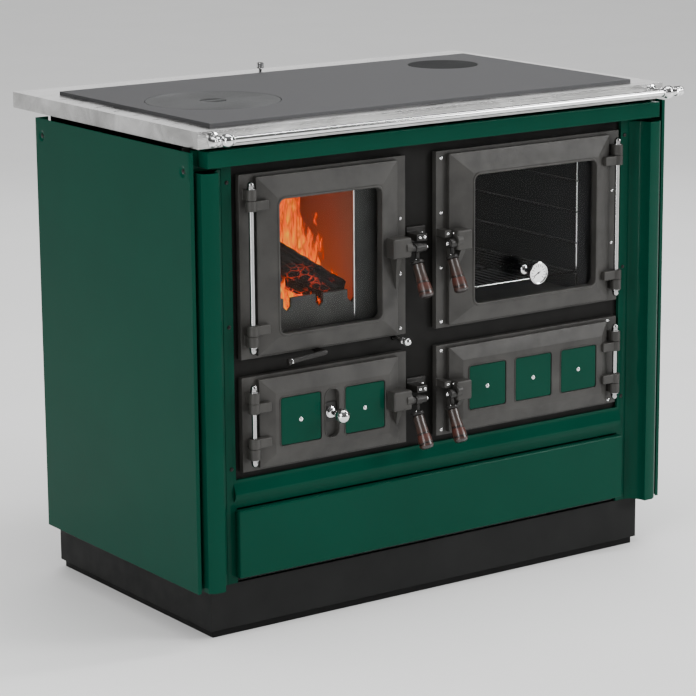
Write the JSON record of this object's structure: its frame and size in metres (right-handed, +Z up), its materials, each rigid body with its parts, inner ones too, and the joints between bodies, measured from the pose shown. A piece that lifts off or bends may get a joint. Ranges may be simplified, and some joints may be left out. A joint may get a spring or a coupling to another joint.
{
  "type": "wood-fired kitchen range cooker",
  "caption": "Wood-burning range cooker in green enamel: cast-iron hob with ring lids, glazed firebox and oven doors, ash and lower doors, wood drawer, plinth and guard rail.",
  "frame": {"origin": "centre of the bounding box in plan, on the floor", "axes": "+X to the right across the front, -Y out of the front towards the cook, +Z up"},
  "size_m": [0.992, 0.663, 0.872],
  "materials": {
    "enamel": "gloss vitreous enamel, dark green",
    "grey_sheet": "satin grey paint",
    "black_plate": "matt black heat-proof paint",
    "oven_enamel": "gloss black enamel",
    "cast_iron": "satin warm grey",
    "black_iron": "matt, heat-darkened",
    "hob_iron": "ground and oiled",
    "dark_steel": "satin black",
    "stainless": "brushed",
    "chrome": "polished",
    "handle_wood": "lacquered, with turned rings",
    "firebrick": "rough fired clay",
    "glass": "clear heat-proof, lightly smoked"
  },
  "bodies": {
    "cabinet": {"plinth": "grey_sheet", "base_pan": "grey_sheet", "left_side_panel": "enamel", "right_side_panel": "enamel", "left_corner_post": "enamel", "right_corner_post": "enamel", "front_frame": "enamel", "top_rail": "enamel", "front_plate": "black_plate", "firebox_door_frame": "cast_iron", "firebox_hinge_rod": "chrome", "ash_door_frame": "cast_iron", "ash_hinge_rod": "chrome", "oven_door_frame": "cast_iron", "oven_hinge_rod": "chrome", "lower_door_frame": "cast_iron", "lower_hinge_rod": "chrome", "firebox_catch": "cast_iron", "ash_catch": "cast_iron", "firebox_casing": "black_plate", "ash_chamber": "black_plate", "oven_box": "oven_enamel", "lower_compartment": "black_plate", "firebrick_lining": "firebrick", "grate": "black_iron", "log_retainer": "black_iron", "oven_runners": "chrome", "back_panel": "black_plate", "top_frame": "stainless", "hob_plate": "hob_iron", "flue_collar": "black_iron", "guard_rail": "chrome", "rail_bracket_left": "chrome", "rail_bracket_right": "chrome"},
    "firebox_door": {"firebox_door": "cast_iron", "firebox_glass": "glass"},
    "ash_door": {"ash_door": "cast_iron"},
    "oven_door": {"oven_door": "cast_iron", "oven_glass": "glass", "oven_thermometer": "chrome"},
    "lower_door": {"lower_door": "cast_iron"},
    "firebox_latch": {"firebox_latch": "dark_steel", "firebox_grip": "handle_wood"},
    "ash_latch": {"ash_latch": "dark_steel", "ash_grip": "handle_wood"},
    "oven_latch": {"oven_latch": "dark_steel", "oven_grip": "handle_wood"},
    "lower_latch": {"lower_latch": "dark_steel", "lower_grip": "handle_wood"},
    "wood_drawer": {"wood_drawer_front": "enamel", "wood_drawer_box": "grey_sheet"},
    "ash_pan": {"ash_pan": "grey_sheet"},
    "oven_rack": {"oven_rack": "chrome"},
    "secondary_air_control": {"secondary_air_knob": "chrome"},
    "primary_air_control": {"primary_air_slider": "chrome"},
    "grate_lever": {"grate_lever": "dark_steel"},
    "flue_damper": {"damper_rod": "chrome"},
    "large_hob_lid": {"hob_lid_large": "hob_iron"},
    "small_hob_lid": {"hob_lid_small": "hob_iron"}
  },
  "joints": [
    {"name": "firebox_door_hinge", "type": "hinge", "parent": "cabinet", "child": "firebox_door", "pos_m": [-0.383, -0.2705, 0.6185], "axis": [0, 0, -1], "range_deg": [0, 105]},
    {"name": "ash_door_hinge", "type": "hinge", "parent": "cabinet", "child": "ash_door", "pos_m": [-0.383, -0.2705, 0.3565], "axis": [0, 0, -1], "range_deg": [0, 105]},
    {"name": "oven_door_hinge", "type": "hinge", "parent": "cabinet", "child": "oven_door", "pos_m": [0.386, -0.2705, 0.6185], "axis": [0, 0, 1], "range_deg": [0, 105]},
    {"name": "lower_door_hinge", "type": "hinge", "parent": "cabinet", "child": "lower_door", "pos_m": [0.386, -0.2705, 0.3565], "axis": [0, 0, 1], "range_deg": [0, 105]},
    {"name": "firebox_latch_turn", "type": "hinge", "parent": "firebox_door", "child": "firebox_latch", "pos_m": [-0.08, -0.2845, 0.6175], "axis": [-1, 0, 0], "range_deg": [0, 60]},
    {"name": "ash_latch_turn", "type": "hinge", "parent": "ash_door", "child": "ash_latch", "pos_m": [-0.08, -0.2845, 0.356], "axis": [-1, 0, 0], "range_deg": [0, 60]},
    {"name": "oven_latch_turn", "type": "hinge", "parent": "oven_door", "child": "oven_latch", "pos_m": [0.01, -0.2845, 0.6175], "axis": [-1, 0, 0], "range_deg": [0, 60]},
    {"name": "lower_latch_turn", "type": "hinge", "parent": "lower_door", "child": "lower_latch", "pos_m": [0.01, -0.2845, 0.356], "axis": [-1, 0, 0], "range_deg": [0, 60]},
    {"name": "wood_drawer_slide", "type": "slide", "parent": "cabinet", "child": "wood_drawer", "axis": [0, -1, 0], "range_m": [0, 0.38]},
    {"name": "ash_pan_slide", "type": "slide", "parent": "cabinet", "child": "ash_pan", "axis": [0, -1, 0], "range_m": [0, 0.05]},
    {"name": "oven_rack_slide", "type": "slide", "parent": "cabinet", "child": "oven_rack", "axis": [0, -1, 0], "range_m": [0, 0.05]},
    {"name": "secondary_air_slide", "type": "slide", "parent": "cabinet", "child": "secondary_air_control", "axis": [0, -1, 0], "range_m": [0, 0.025]},
    {"name": "primary_air_slide", "type": "slide", "parent": "ash_door", "child": "primary_air_control", "axis": [0, 0, 1], "range_m": [-0.014, 0.014]},
    {"name": "grate_lever_turn", "type": "hinge", "parent": "cabinet", "child": "grate_lever", "pos_m": [-0.242, -0.2715, 0.461], "axis": [0, -1, 0], "range_deg": [0, 12]},
    {"name": "flue_damper_slide", "type": "slide", "parent": "cabinet", "child": "flue_damper", "axis": [0, 0, 1], "range_m": [0, 0.045]},
    {"name": "large_hob_lid_lift", "type": "slide", "parent": "cabinet", "child": "large_hob_lid", "axis": [0, 0, 1], "range_m": [0, 0.06]},
    {"name": "small_hob_lid_lift", "type": "slide", "parent": "cabinet", "child": "small_hob_lid", "axis": [0, 0, 1], "range_m": [0, 0.06]}
  ]
}
